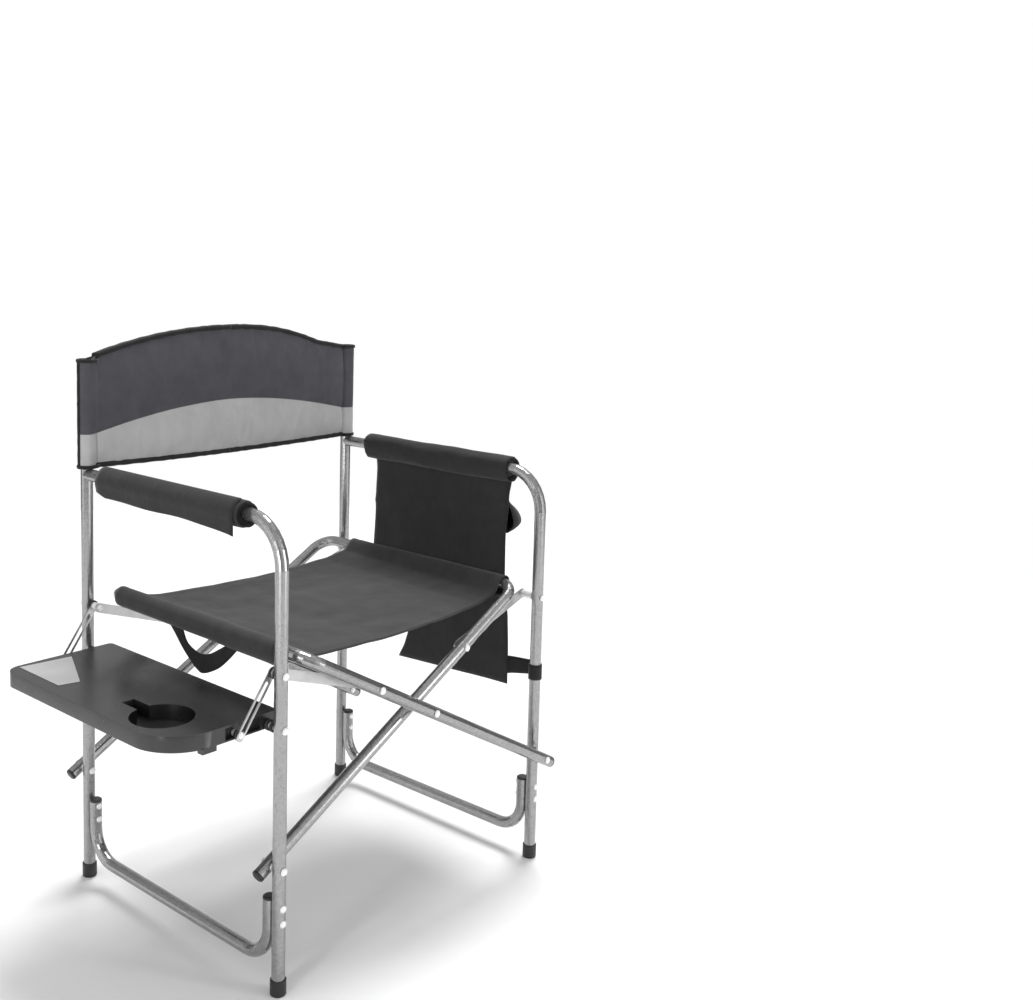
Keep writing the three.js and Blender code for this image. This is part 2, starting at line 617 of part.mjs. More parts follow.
chair.add(piece('table_top', tableTop(), tableMaterial));
for (const [name, end] of [['front', TABLE_FRONT_Y], ['rear', TABLE_REAR_Y]]) {
  const planes = end < 0 ? [-BRACKET_Y[1], -BRACKET_Y[0]] : BRACKET_Y;
  chair.add(piece(`table_${name}_bracket`, tableBracket(...planes), barMaterial));
  chair.add(tableHingePin(`table_${name}_hinge_pin`, end));
  chair.add(bracketPin(`table_${name}_bracket_pin`, end));
}

chair.add(piece('seat_left', seatHalf(-1), seatMaterial), piece('seat_right', seatHalf(1), seatMaterial));
chair.add(piece('seat_middle', seatMiddle(), seatMaterial));
chair.add(piece('carry_handle', carryHandle(), coverMaterial));
for (const [name, side] of [['left', -1], ['right', 1]]) {
  chair.add(piece(`back_panel_${name}`, backPanel(side), backMaterial));
  chair.add(piece(`back_sleeve_${name}`, backSleeve(side), backMaterial));
}
chair.add(piece('left_arm_pad', armRoll(-LEG_X, -166, 172), coverMaterial));
chair.add(piece('organizer_roll', armRoll(LEG_X, -168, 170), coverMaterial));
chair.add(piece('organizer_panel', organizerPanel(), coverMaterial));
chair.add(piece('organizer_large_pocket', pocket([-164, 40], [306, 500], 20), coverMaterial));
const smallDepth = POCKET_OUTER_X - PANEL_X[1] - GAP;
const smallPocket = pocket([ORGANIZER_FRONT - 8, -84], [530, 606], smallDepth);
chair.add(piece('organizer_small_pocket', smallPocket, coverMaterial));
chair.add(piece('organizer_strap', organizerStrap(), coverMaterial));

export default chair;
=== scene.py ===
"""A folding director chair with a side table and a hanging organizer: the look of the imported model.

Metres, in the model's own frame: -Y is the front, +X the organizer's side, +Z up.
"""
import json
import math

import bmesh
import bpy
import numpy as np
from mathutils import Matrix, Vector, noise


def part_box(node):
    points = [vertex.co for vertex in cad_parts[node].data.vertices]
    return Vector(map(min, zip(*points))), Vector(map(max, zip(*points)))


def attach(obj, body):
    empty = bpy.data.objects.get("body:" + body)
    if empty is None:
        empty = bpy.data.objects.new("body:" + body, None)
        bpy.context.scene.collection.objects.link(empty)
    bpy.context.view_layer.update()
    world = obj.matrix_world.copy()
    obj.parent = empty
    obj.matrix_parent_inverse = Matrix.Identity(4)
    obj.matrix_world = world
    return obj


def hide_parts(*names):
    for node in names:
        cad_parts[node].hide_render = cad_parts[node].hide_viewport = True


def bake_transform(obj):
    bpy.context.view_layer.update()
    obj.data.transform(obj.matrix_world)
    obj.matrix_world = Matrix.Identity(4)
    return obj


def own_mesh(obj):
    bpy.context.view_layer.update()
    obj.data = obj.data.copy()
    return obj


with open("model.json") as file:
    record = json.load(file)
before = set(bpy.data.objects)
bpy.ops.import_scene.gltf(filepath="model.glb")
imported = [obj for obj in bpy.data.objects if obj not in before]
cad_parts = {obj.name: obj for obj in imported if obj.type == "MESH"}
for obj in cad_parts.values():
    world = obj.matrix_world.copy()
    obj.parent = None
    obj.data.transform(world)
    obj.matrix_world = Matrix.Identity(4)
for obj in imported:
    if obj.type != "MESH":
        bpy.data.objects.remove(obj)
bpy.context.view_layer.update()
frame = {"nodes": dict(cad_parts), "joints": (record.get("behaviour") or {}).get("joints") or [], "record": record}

JOINTS = {joint["name"]: joint for joint in frame["joints"]}

TUBE_RADIUS = 0.0095
CLOTH = 0.0018
ROOM_FRONT = (-0.736, -0.677, 0)


# ---------------------------------------------------------------- camera, studio world and lights
def aimed(position, target):
    """A matrix at position whose -Z looks at target."""
    position = Vector(position)
    turn = (Vector(target) - position).to_track_quat("-Z", "Y")
    return Matrix.Translation(position) @ turn.to_matrix().to_4x4()


def add_camera():
    azimuth, elevation, roll = (math.radians(a) for a in (-47.416, 6.25, 1.266))
    back = Vector((math.sin(azimuth) * math.cos(elevation), -math.cos(azimuth) * math.cos(elevation),
                   math.sin(elevation)))
    level = Vector((math.cos(azimuth), math.sin(azimuth), 0))
    above = back.cross(level)
    right = level * math.cos(roll) + above * math.sin(roll)
    up = above * math.cos(roll) - level * math.sin(roll)
    data = bpy.data.cameras.new("camera")
    data.lens = 43.565
    data.sensor_width = 36
    data.shift_x = 0.0901
    data.shift_y = -0.1078
    camera = bpy.data.objects.new("camera", data)
    bpy.context.scene.collection.objects.link(camera)
    place = Matrix.Translation((-1.291, -1.4611, 1.0183))
    camera.matrix_world = place @ Matrix((right, up, back)).transposed().to_4x4()
    bpy.context.scene.camera = camera


def add_light(name, kind, position, target, power, **settings):
    data = bpy.data.lights.new(name, kind)
    data.energy = power
    for setting, value in settings.items():
        setattr(data, setting, value)
    light = bpy.data.objects.new(name, data)
    bpy.context.scene.collection.objects.link(light)
    light.matrix_world = aimed(position, target)
    light.visible_camera = False


def grey_node(nodes, stops):
    """A grey ramp of (position, value) stops."""
    node = nodes.new("ShaderNodeValToRGB")
    elements = node.color_ramp.elements
    while len(elements) < len(stops):
        elements.new(0.5)
    for element, (position, value) in zip(elements, stops):
        element.position = position
        element.color = (value, value, value, 1)
    return node


def mix_node(nodes, links, share, first, second):
    """Mixes two colours; second is a plain grey value."""
    node = nodes.new("ShaderNodeMix")
    node.data_type = "RGBA"
    node.inputs[7].default_value = (second, second, second, 1)
    links.new(share, node.inputs[0])
    links.new(first, node.inputs[6])
    return node.outputs[2]


def add_studio():
    """A room of grey walls, with a plain white backdrop behind the chair."""
    world = bpy.data.worlds.new("studio")
    bpy.context.scene.world = world
    world.use_nodes = True
    nodes, links = world.node_tree.nodes, world.node_tree.links
    direction = nodes.new("ShaderNodeTexCoord").outputs["Generated"]

    facing = nodes.new("ShaderNodeVectorMath")
    facing.operation = "DOT_PRODUCT"
    facing.inputs[1].default_value = ROOM_FRONT
    links.new(direction, facing.inputs[0])
    share = nodes.new("ShaderNodeMapRange")
    share.inputs["From Min"].default_value = -1
    links.new(facing.outputs["Value"], share.inputs["Value"])
    walls = grey_node(nodes, [(0.0, 0.75), (0.08, 0.5), (0.16, 0.08), (0.36, 0.10), (0.52, 0.55), (0.64, 1.5),
                              (0.80, 1.4), (0.92, 0.40), (1.0, 0.30)])
    links.new(share.outputs["Result"], walls.inputs["Fac"])

    height = nodes.new("ShaderNodeSeparateXYZ")
    links.new(direction, height.inputs["Vector"])
    ceiling = nodes.new("ShaderNodeMapRange")
    ceiling.inputs["From Min"].default_value = 0.3
    ceiling.inputs["From Max"].default_value = 0.75
    links.new(height.outputs["Z"], ceiling.inputs["Value"])
    room = mix_node(nodes, links, ceiling.outputs["Result"], walls.outputs["Color"], 0.62)
    seen = nodes.new("ShaderNodeLightPath").outputs["Is Camera Ray"]
    links.new(mix_node(nodes, links, seen, room, 1), nodes["Background"].inputs["Color"])


add_camera()
add_studio()
bpy.context.scene.view_settings.view_transform = "Standard"
add_light("key", "SUN", (0.9, 0.45, 2.3), (0, 0, 0), 2.1, angle=math.radians(24))
STRIP = {"shape": "RECTANGLE", "size": 0.3, "size_y": 2.0}
add_light("strip_left", "AREA", (-2.6, -0.9, 1.0), (0, 0, 0.5), 14, **STRIP)
add_light("strip_right", "AREA", (0.9, -2.5, 1.0), (0, 0, 0.5), 12, **STRIP)


# ---------------------------------------------------------------- materials
class Surface:
    """A Principled material, and the nodes that feed it."""

    def __init__(self, name, **sockets):
        self.material = bpy.data.materials.new(name)
        self.material.use_nodes = True
        self.tree = self.material.node_tree
        self.shader = self.tree.nodes["Principled BSDF"]
        for socket, value in sockets.items():
            self.shader.inputs[socket.replace("_", " ")].default_value = value
        self.place = self.add("ShaderNodeTexCoord").outputs["Object"]

    def add(self, kind, inputs=None, **properties):
        node = self.tree.nodes.new(kind)
        for name, value in properties.items():
            setattr(node, name, value)
        for name, value in (inputs or {}).items():
            if isinstance(value, bpy.types.NodeSocket):
                self.tree.links.new(value, node.inputs[name])
            else:
                node.inputs[name].default_value = value
        return node

    def stretched(self, scale):
        return self.add("ShaderNodeMapping", {"Vector": self.place, "Scale": scale}).outputs["Vector"]

    def noise(self, scale, detail=3, stretch=None):
        place = self.stretched(stretch) if stretch else self.place
        inputs = {"Vector": place, "Scale": scale, "Detail": detail}
        return self.add("ShaderNodeTexNoise", inputs).outputs["Fac"]

    def cells(self, scale):
        return self.add("ShaderNodeTexVoronoi", {"Vector": self.place, "Scale": scale}).outputs["Distance"]

    def threads(self, direction, pitch):
        inputs = {"Vector": self.place, "Scale": 0.314 / pitch, "Distortion": 0.6, "Detail": 1}
        return self.add("ShaderNodeTexWave", inputs, bands_direction=direction).outputs["Fac"]

    def math(self, operation, a, b):
        return self.add("ShaderNodeMath", {0: a, 1: b}, operation=operation).outputs[0]

    def ramp(self, factor, stops):
        """A colour ramp of (position, colour) stops."""
        node = self.add("ShaderNodeValToRGB", {"Fac": factor})
        elements = node.color_ramp.elements
        while len(elements) < len(stops):
            elements.new(0.5)
        for element, (position, colour) in zip(elements, stops):
            element.position = position
            element.color = (*colour, 1)
        return node.outputs["Color"]

    def levels(self, factor, low, high):
        """Maps a 0 to 1 factor to the range low to high."""
        inputs = {"Value": factor, "To Min": low, "To Max": high}
        return self.add("ShaderNodeMapRange", inputs).outputs["Result"]

    def colour(self, socket):
        self.tree.links.new(socket, self.shader.inputs["Base Color"])
        return self

    def roughness(self, socket):
        self.tree.links.new(socket, self.shader.inputs["Roughness"])
        return self

    def bumps(self, *layers):
        """Stacks (height, strength, distance) bump layers."""
        normal = None
        for height, strength, distance in layers:
            inputs = {"Height": height, "Strength": strength, "Distance": distance}
            if normal:
                inputs["Normal"] = normal
            normal = self.add("ShaderNodeBump", inputs).outputs["Normal"]
        self.tree.links.new(normal, self.shader.inputs["Normal"])
        return self.material


def grey(value, tint=(0, 0, 0)):
    return tuple(value + t for t in tint)


def fabric(name, dark, light, directions, pitch=0.0011, sheen=0.2, tint=(0, 0, 0), grain=0.35, soft=0.5):
    """Plain-woven cloth whose threads run along two axes of the model."""
    surface = Surface(name, Roughness=0.86, Sheen_Weight=sheen, Sheen_Roughness=0.45)
    surface.shader.inputs["Specular IOR Level"].default_value = 0.25
    weave = surface.math("MULTIPLY", *(surface.threads(d, pitch) for d in directions))
    mottle = surface.noise(34, 4)
    fine = surface.noise(900, 2)
    mixed = surface.math("ADD", surface.math("MULTIPLY", mottle, 0.65), surface.math("MULTIPLY", fine, 0.35))
    surface.colour(surface.ramp(mixed, [(0.3, grey(dark, tint)), (0.7, grey(light, tint))]))
    surface.roughness(surface.levels(mottle, 0.78, 0.95))
    return surface.bumps((surface.noise(26, 3), soft, 0.004), (weave, grain, 0.0004))


def hammertone(name, dark, light):
    """Textured silver powder coat: small cells that catch the light."""
    surface = Surface(name, Metallic=0.82)
    cells = surface.cells(680)
    patches = surface.noise(160, 3)
    mixed = surface.math("ADD", surface.math("MULTIPLY", cells, 0.75), surface.math("MULTIPLY", patches, 0.5))
    surface.colour(surface.ramp(mixed, [(0.32, grey(dark)), (0.68, grey(light))]))
    surface.roughness(surface.levels(patches, 0.15, 0.26))
    return surface.bumps((cells, 0.055, 0.0003), (surface.noise(60, 2), 0.03, 0.001))


def plastic(name, dark, light, roughness=(0.36, 0.55), scale=420, strength=0.12):
    surface = Surface(name)
    surface.shader.inputs["Specular IOR Level"].default_value = 0.45
    patches = surface.noise(18, 4)
    surface.colour(surface.ramp(patches, [(0.3, grey(dark)), (0.72, grey(light))]))
    surface.roughness(surface.levels(surface.noise(60, 3), *roughness))
    return surface.bumps((surface.noise(scale, 2), strength, 0.0003))


def metal(name, dark, light, stretch, roughness=(0.22, 0.42), metallic=0.9):
    """Bare or plated metal with faint rolling lines along its longest stretch."""
    surface = Surface(name, Metallic=metallic)
    lines = surface.noise(220, 3, stretch)
    surface.colour(surface.ramp(lines, [(0.25, grey(dark)), (0.75, grey(light))]))
    surface.roughness(surface.levels(lines, *roughness))
    return surface.bumps((lines, 0.12, 0.0003))


MATERIALS = {
    "frame_tube": hammertone("hammertone", 0.19, 0.38),
    "rivet_steel": metal("bright_rivet", 0.8, 0.95, (1, 1, 1), (0.25, 0.4), 0.35),
    "flat_bar": metal("flat_bar", 0.42, 0.56, (0.2, 1, 0.2)),
    "black_plastic": plastic("black_plastic", 0.012, 0.024),
    "table_plastic": plastic("table_plastic", 0.027, 0.039, (0.2, 0.3), 700, 0.07),
    "seat_fabric": fabric("seat_fabric", 0.030, 0.050, "XY"),
    "cover_fabric": fabric("cover_fabric", 0.020, 0.032, "YZ"),
    "backrest_fabric": fabric("backrest_charcoal", 0.058, 0.084, "XZ", tint=(0.002, 0, 0.010), soft=0.22),
}
GREY_BAND = fabric("backrest_grey", 0.39, 0.47, "XZ", sheen=0.15, soft=0.22)
BINDING = fabric("binding", 0.012, 0.022, "XZ", pitch=0.0016, grain=0.6)
FOAM = plastic("foam", 0.012, 0.03, (0.8, 0.95), 900, 0.5)
LABEL = plastic("label_film", 0.50, 0.62, (0.3, 0.5), 200, 0.05)
# A near-black copy of the table plastic for the cup well: painted shade in the recess, not a different plastic.
WELL_PAINTED_SHADE = plastic("cup_well_painted_shade", 0.004, 0.008, (0.3, 0.45), 500, 0.1)
FLOOR = plastic("floor_paint", 0.93, 0.95, (0.8, 0.9), 30, 0.02)


# ---------------------------------------------------------------- mesh helpers
def make(name, points, faces, material, body=None, smooth=True):
    mesh = bpy.data.meshes.new(name)
    mesh.from_pydata([tuple(p) for p in points], [], faces)
    mesh.validate()
    made = bmesh.new()
    made.from_mesh(mesh)
    bmesh.ops.recalc_face_normals(made, faces=made.faces)
    made.to_mesh(mesh)
    made.free()
    mesh.materials.append(material)
    if smooth:
        mesh.shade_smooth()
        for polygon in mesh.polygons:
            polygon.use_smooth = len(polygon.vertices) < 5
    piece = bpy.data.objects.new(name, mesh)
    bpy.context.scene.collection.objects.link(piece)
    if body:
        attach(piece, body)
    return piece


def quads(rows, columns, wrap=False):
    """Faces of a grid whose points are listed row by row; wrap closes each row into a ring."""
    faces = []
    for i in range(rows - 1):
        for j in range(columns if wrap else columns - 1):
            m = (j + 1) % columns
            faces.append((i * columns + j, i * columns + m, (i + 1) * columns + m, (i + 1) * columns + j))
    return faces


def capped(rows, columns):
    """Faces of a closed tube of rings."""
    ends = [tuple(range(columns)), tuple(range((rows - 1) * columns, rows * columns))]
    return quads(rows, columns, wrap=True) + ends


def applied(piece, kind, **settings):
    """Adds a modifier and applies it."""
    modifier = piece.modifiers.new(kind.lower(), kind)
    for name, value in settings.items():
        setattr(modifier, name, value)
    graph = bpy.context.evaluated_depsgraph_get()
    mesh = bpy.data.meshes.new_from_object(piece.evaluated_get(graph))
    piece.modifiers.clear()
    piece.data = mesh
    return piece


def cloth(name, grid, material, thickness=CLOTH):
    """A sheet from a grid of points, given its thickness."""
    rows, columns = len(grid), len(grid[0])
    piece = make(name, [p for row in grid for p in row], quads(rows, columns), material)
    applied(piece, "SOLIDIFY", thickness=thickness, offset=0, use_quality_normals=True)
    piece.data.shade_smooth()
    return piece


def smooth_line(points, per=4):
    """A Catmull-Rom line through points, with per steps between each two."""
    points = [np.array(p, float) for p in points]
    padded = [2 * points[0] - points[1], *points, 2 * points[-1] - points[-2]]
    line = []
    for a, b, c, d in zip(padded, padded[1:], padded[2:], padded[3:]):
        for k in range(per):
            t = k / per
            line.append(0.5 * (2 * b + (c - a) * t + (2 * a - 5 * b + 4 * c - d) * t ** 2
                               + (3 * b - a - 3 * c + d) * t ** 3))
    line.append(points[-1])
    return line


def ripple(x, y, z, scale, size):
    """Smooth repeatable unevenness."""
    return size * noise.noise(Vector((x, y, z)) * scale)


def turned(name, profile, centre, axis, body, slot):
    """A solid of revolution from (radius, distance) points along axis from centre."""
    sides = 24
    axis = Vector(axis).normalized()
    side = axis.orthogonal().normalized()
    other = axis.cross(side)
    points = []
    for radius, distance in profile:
        for k in range(sides):
            angle = 2 * math.pi * k / sides
            spoke = side * math.cos(angle) + other * math.sin(angle)
            points.append(Vector(centre) + axis * distance + spoke * max(radius, 1e-5))
    return make(name, points, quads(len(profile), sides, wrap=True), MATERIALS[slot], body)


# ---------------------------------------------------------------- CAD pieces that keep their shape
for entry in frame["record"]["subparts"]:
    node = frame["nodes"][entry["node"]]
    node.data.materials.clear()
    node.data.materials.append(MATERIALS[entry["material_slot"]])


# ---------------------------------------------------------------- floor
FLOOR_RADIUS = 3.0
rim = [(FLOOR_RADIUS * math.cos(a), FLOOR_RADIUS * math.sin(a), 0) for a in np.radians(range(0, 360, 5))]
floor = make("floor", rim, [tuple(range(len(rim)))], FLOOR, smooth=False)


# ---------------------------------------------------------------- seat
LEFT_RAIL = Vector(JOINTS["seat_left_fold"]["pos_m"])
RIGHT_RAIL = Vector(JOINTS["seat_right_fold"]["pos_m"])


def seat():
    """One sling: a loose sleeve round each rail and the panel that hangs between them."""
    span = RIGHT_RAIL.x - LEFT_RAIL.x
    rows = []
    steps = 56
    for i in range(steps + 1):
        t = i / steps
        low = 0.0150 + 0.006 * (1 - t) ** 1.4
        inner = 0.016 - 0.009 * t
        middle = 0.0295 - 0.0115 * t
        sleeve = [(0.0235, -inner - 0.0025), (0.009, -low), (-0.004, -low - 0.001), (-0.0108, -0.010),
                  (-0.0126, 0.001), (-0.0092, 0.0092), (-0.001, 0.0127), (0.0075, 0.0104), (0.0145, 0.003),
                  (0.0225, -inner * 0.62), (0.036, -inner)]
        hang = [(u, math.sin(math.pi * u) ** 0.8) for u in np.linspace(0.13, 0.87, 22)]
        panel = [(span * u, -(inner + (middle - inner) * share)) for u, share in hang]
        mirrored = [(span - x, z) for x, z in reversed(sleeve)]
        row = []
        for x, z in smooth_line([*sleeve, *panel, *mirrored], 3):
            across = x / span
            inside = min(max(across, 0), 1)
            edge = 0.5 - 0.5 * math.cos(math.pi * inside)
            front = -0.197 + 0.011 * edge
            rear = 0.183 - 0.006 * edge
            y = front + (rear - front) * t
            sag = math.sin(math.pi * inside)
            z += 0.0016 * sag * math.sin(9 * across + 5 * t) * math.sin(math.pi * t)
            z += ripple(x * 0.6, y * 1.6, 0, 16, 0.0018) * sag
            z += ripple(x, y * 0.5, 3, 26, 0.0010)
            hem_groove = max(0, 1 - abs(min(t, 1 - t) * 0.36 - 0.012) / 0.003)
            z -= 0.0007 * hem_groove
            row.append((LEFT_RAIL.x + x, y, LEFT_RAIL.z + z))
        rows.append(row)
    piece = cloth("seat_sling", rows, MATERIALS["seat_fabric"])
    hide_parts("seat_left", "seat_middle", "seat_right")
    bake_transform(piece)


seat()


# ---------------------------------------------------------------- backrest
BACK_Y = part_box("left_back_post")[0].y + TUBE_RADIUS
POST_X = {side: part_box(f"{side}_back_post")[0].x + TUBE_RADIUS for side in ("left", "right")}
MIDDLE_X = (POST_X["left"] + POST_X["right"]) / 2
REACH = POST_X["right"] - MIDDLE_X
SLEEVE_RADIUS = 0.0135
BACK_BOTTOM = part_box("back_panel_left")[0].z
BACK_PEAK = 0.884
SLEEVE_TOP = 0.839


def back_top(x):
    """Top edge of the backrest, from its middle."""
    if x < 0:
        arch = BACK_PEAK - 0.034 * (abs(x) / 0.255) ** 2.1
    elif x < 0.2:
        arch = BACK_PEAK - 0.033 * (x / 0.2) ** 2.3
    else:
        arch = BACK_PEAK - 0.033 - 0.012 * (x - 0.2) / 0.07
    return max(arch, SLEEVE_TOP - 0.0015)


def back_bottom(x):
    return BACK_BOTTOM - 0.003 + 0.004 * (abs(x) / REACH) ** 2


def band_line(x):
    """Where the light lower band meets the charcoal."""
    return 0.7595 - 0.042 * (abs(x) / 0.29) ** 1.8


SEAM = REACH - SLEEVE_RADIUS - 0.002
LOWER_ROWS, UPPER_ROWS, FACE_STEPS, WRAP_STEPS = 12, 20, 104, 13


def back_point(x, depth, face, v, puff):
    """A point of the backrest's shell: v is 0 at the bottom, 1 at the colour seam and 2 at the top.

    On the two padded faces depth is None, and the padding's thickness gives it.
    """
    flat = max(-SEAM, min(SEAM, x))
    bottom, middle, top = back_bottom(flat), band_line(flat), back_top(flat)
    past = abs(x) - SEAM
    if past > 0:
        top += (SLEEVE_TOP - top) * min(1, past / 0.004)
    z = bottom + (middle - bottom) * v if v < 1 else middle + (top - middle) * (v - 1)
    if depth is None:
        pinch = ((z - bottom, 0.017), (top - z, 0.020), (0.020 - past, 0.014),
                 (abs(z - middle) + 0.003, 0.013))
        full = math.prod(1 - math.exp(-max(gap, 0) / size) for gap, size in pinch)
        edge = max(min(z - bottom, top - z), 0)
        wander = 9 * noise.noise(Vector((x * 30, z * 30, 0)))
        thick = 0.0022 + puff * full
        thick += 0.0007 * math.exp(-edge / 0.011) * math.sin(310 * x + wander)
        thick += ripple(x, face * 2, z, 20, 0.0022) * full + ripple(x * 3, face, z, 30, 0.0003)
        depth = face * max(thick, 0.0014)
    else:
        depth += ripple(x, depth * 3, z, 60, 0.0006)
    return MIDDLE_X + x, BACK_Y + depth, z


def back_loop():
    """One row round the backrest: the front face, a sleeve, the back face and the other sleeve."""
    front = [(SEAM * (2 * k / FACE_STEPS - 1), None, -1) for k in range(FACE_STEPS + 1)]
    wrap = []
    for k in range(1, WRAP_STEPS + 1):
        angle = math.radians(205 * k / (WRAP_STEPS + 1) - 102.5)
        wrap.append((REACH + SLEEVE_RADIUS * math.cos(angle), SLEEVE_RADIUS * math.sin(angle), 0))
    back = [(x, None, 1) for x, _, _ in reversed(front)]
    return front + wrap + back + [(-x, y, face) for x, y, face in reversed(wrap)]


def inflated(piece, sewn):
    """Lets air fill a sewn cloth shell for 20 steps, and caps how far each point moves."""
    steps, pressure, slack, limit = 20, 4, 0.012, 0.007
    start = [vertex.co.copy() for vertex in piece.data.vertices]
    piece.vertex_groups.new(name="sewn").add(sewn, 1.0, "REPLACE")
    modifier = piece.modifiers.new("cloth", "CLOTH")
    modifier.settings.vertex_group_mass = "sewn"
    modifier.settings.use_pressure = True
    modifier.settings.uniform_pressure_force = pressure
    modifier.settings.effector_weights.gravity = 0
    modifier.settings.shrink_min = -slack
    modifier.collision_settings.use_collision = False
    modifier.point_cache.frame_start = 1
    modifier.point_cache.frame_end = steps
    for step in range(1, steps + 1):
        bpy.context.scene.frame_set(step)
    graph = bpy.context.evaluated_depsgraph_get()
    ends = [vertex.co.copy() for vertex in piece.evaluated_get(graph).data.vertices]
    piece.modifiers.clear()
    bpy.context.scene.frame_set(1)
    points = []
    for a, b in zip(start, ends):
        move = b - a
        if move.length > limit:
            move *= limit / move.length
        points.append(a + move)
    return points


def back_part(name, side, points, own, count):
    """One part of the backrest, from its own faces of the whole shell."""
    used = sorted({k for face in own for k in face})
    place = {k: n for n, k in enumerate(used)}
    faces = [[place[k] for k in face] for face in own]
    piece = make(f"{name}_{side}", [points[k] for k in used], faces, MATERIALS["backrest_fabric"])
    piece.data.materials.append(GREY_BAND)
    loop = back_loop()
    for polygon, face in zip(piece.data.polygons, own):
        rows = {k // count for k in face}
        on_back = sum(loop[k % count][2] for k in face) > 2
        polygon.material_index = 1 if min(rows) < LOWER_ROWS and len(rows) == 2 and not on_back else 0
    return applied(piece, "SUBSURF", levels=1, render_levels=1)


def backrest():
    """The padded backrest, blown up as one shell and then parted down its middle and at its sleeves."""
    rows = [k / LOWER_ROWS for k in range(LOWER_ROWS)] + [1 + k / UPPER_ROWS for k in range(UPPER_ROWS + 1)]
    loop = back_loop()
    count = len(loop)
    puff = 0.0085
    points = [back_point(*column, v, puff) for v in rows for column in loop]
    faces = quads(len(rows), count, wrap=True)
    for i in (0, len(rows) - 1):
        for j in range(FACE_STEPS):
            across = FACE_STEPS + WRAP_STEPS + 1 + (FACE_STEPS - j)
            faces.append((i * count + j, i * count + j + 1, i * count + across - 1, i * count + across))
    shell = make("backrest_shell", points, faces, BINDING)
    sewn = []
    for index in range(len(points)):
        row, (x, depth, _) = index // count, loop[index % count]
        if row in (0, LOWER_ROWS, len(rows) - 1) or depth is not None or abs(x) > SEAM - 0.001:
            sewn.append(index)
    points = inflated(shell, sewn)
    bpy.data.objects.remove(shell)

    parts = {}
    for side in ("left", "right"):
        panel, sleeve = [], []
        for face in faces:
            columns = [loop[k % count] for k in face]
            if (sum(x for x, _, _ in columns) < 0) == (side == "left"):
                wraps = any(depth is not None for _, depth, _ in columns)
                (sleeve if wraps else panel).append(face)
        panel = back_part("backrest", side, points, panel, count)
        sleeve = back_part("back_sleeve_cloth", side, points, sleeve, count)
        applied(sleeve, "SOLIDIFY", thickness=0.0014, offset=-1)
        panel.data.shade_smooth()
        sleeve.data.shade_smooth()
        parts[side] = panel, sleeve
    return parts


def binding(side, name, curve, span):
    """The folded tape along an edge of the backrest."""
    sign = -1 if side == "left" else 1
    steps, sides = 60, 12
    rings = []
    for k in range(steps + 1):
        x = sign * (span * k / steps)
        z = curve(x)
        wave = 0.0003 * math.sin(200 * x + 4 * noise.noise(Vector((x * 40, z, 7))))
        for angle in np.linspace(0, 2 * math.pi, sides, endpoint=False):
            y = (0.0078 + wave) * math.copysign(abs(math.cos(angle)) ** 0.7, math.cos(angle))
            rise = (0.0046 + wave) * math.copysign(abs(math.sin(angle)) ** 0.7, math.sin(angle))
            rings.append((MIDDLE_X + x, BACK_Y + y, z + rise))
    return make(f"{name}_{side}", rings, capped(steps + 1, sides), BINDING)


def hem(side, name, height):
    """The tape round the mouth of a post's sleeve."""
    sign = -1 if side == "left" else 1
    sides = 8
    arc = np.radians(range(-96, 97, 12))
    turn = [(REACH + SLEEVE_RADIUS * math.cos(a), SLEEVE_RADIUS * math.sin(a)) for a in arc]
    entry = [(SEAM - 0.002, -0.0072), (SEAM + 0.006, -0.0108)]
    path = [*entry, *turn, *((x, -y) for x, y in reversed(entry))]
    rings = []
    for before, (x, y), after in zip([path[0], *path], path, [*path[1:], path[-1]]):
        out = Vector((after[1] - before[1], before[0] - after[0])).normalized()
        for angle in np.linspace(0, 2 * math.pi, sides, endpoint=False):
            swell = 0.0006 + 0.0017 * math.cos(angle)
            rings.append((MIDDLE_X + sign * (x + out.x * swell), BACK_Y + y + out.y * swell,
                          height + 0.003 * math.sin(angle)))
    return make(f"{name}_{side}", rings, capped(len(path), sides), BINDING)


def piping(side):
    """The tape down the outer edge of a post's sleeve."""
    x = POST_X[side] + (-1 if side == "left" else 1) * (SLEEVE_RADIUS + 0.0006)
    steps, sides = 30, 10
    rings = []
    for k in range(steps + 1):
        z = BACK_BOTTOM - 0.001 + (SLEEVE_TOP + 0.0015 - BACK_BOTTOM) * k / steps
        for angle in np.linspace(0, 2 * math.pi, sides, endpoint=False):
            wander = ripple(0, k * 0.3, z, 9, 0.0005)
            rings.append((x + 0.0021 * math.cos(angle) + wander, BACK_Y + 0.0026 * math.sin(angle), z))
    return make(f"back_side_piping_{side}", rings, capped(steps + 1, sides), BINDING)


# On the real chair each half turns back behind its post as the frame folds; here each half rides with its side's
# frame, and the panel and its bindings get meshes of their own.
BACKREST = backrest()
for side, sign in (("left", -1), ("right", 1)):
    panel, sleeve = BACKREST[side]
    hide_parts(f"back_panel_{side}")
    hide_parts(f"back_sleeve_{side}")
    turning = [
        panel,
        binding(side, "back_top_binding", lambda x: back_top(x) - 0.001, SEAM + 0.001),
        binding(side, "back_bottom_binding", lambda x: back_bottom(x) + 0.002, SEAM + 0.001),
    ]
    still = [
        sleeve,
        hem(side, "back_sleeve_top_hem", SLEEVE_TOP - 0.0005),
        hem(side, "back_sleeve_foot_hem", BACK_BOTTOM + 0.0015),
        piping(side),
    ]
    for piece in turning + still:
        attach(piece, f"{side}_frame")
    for piece in turning:
        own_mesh(piece)


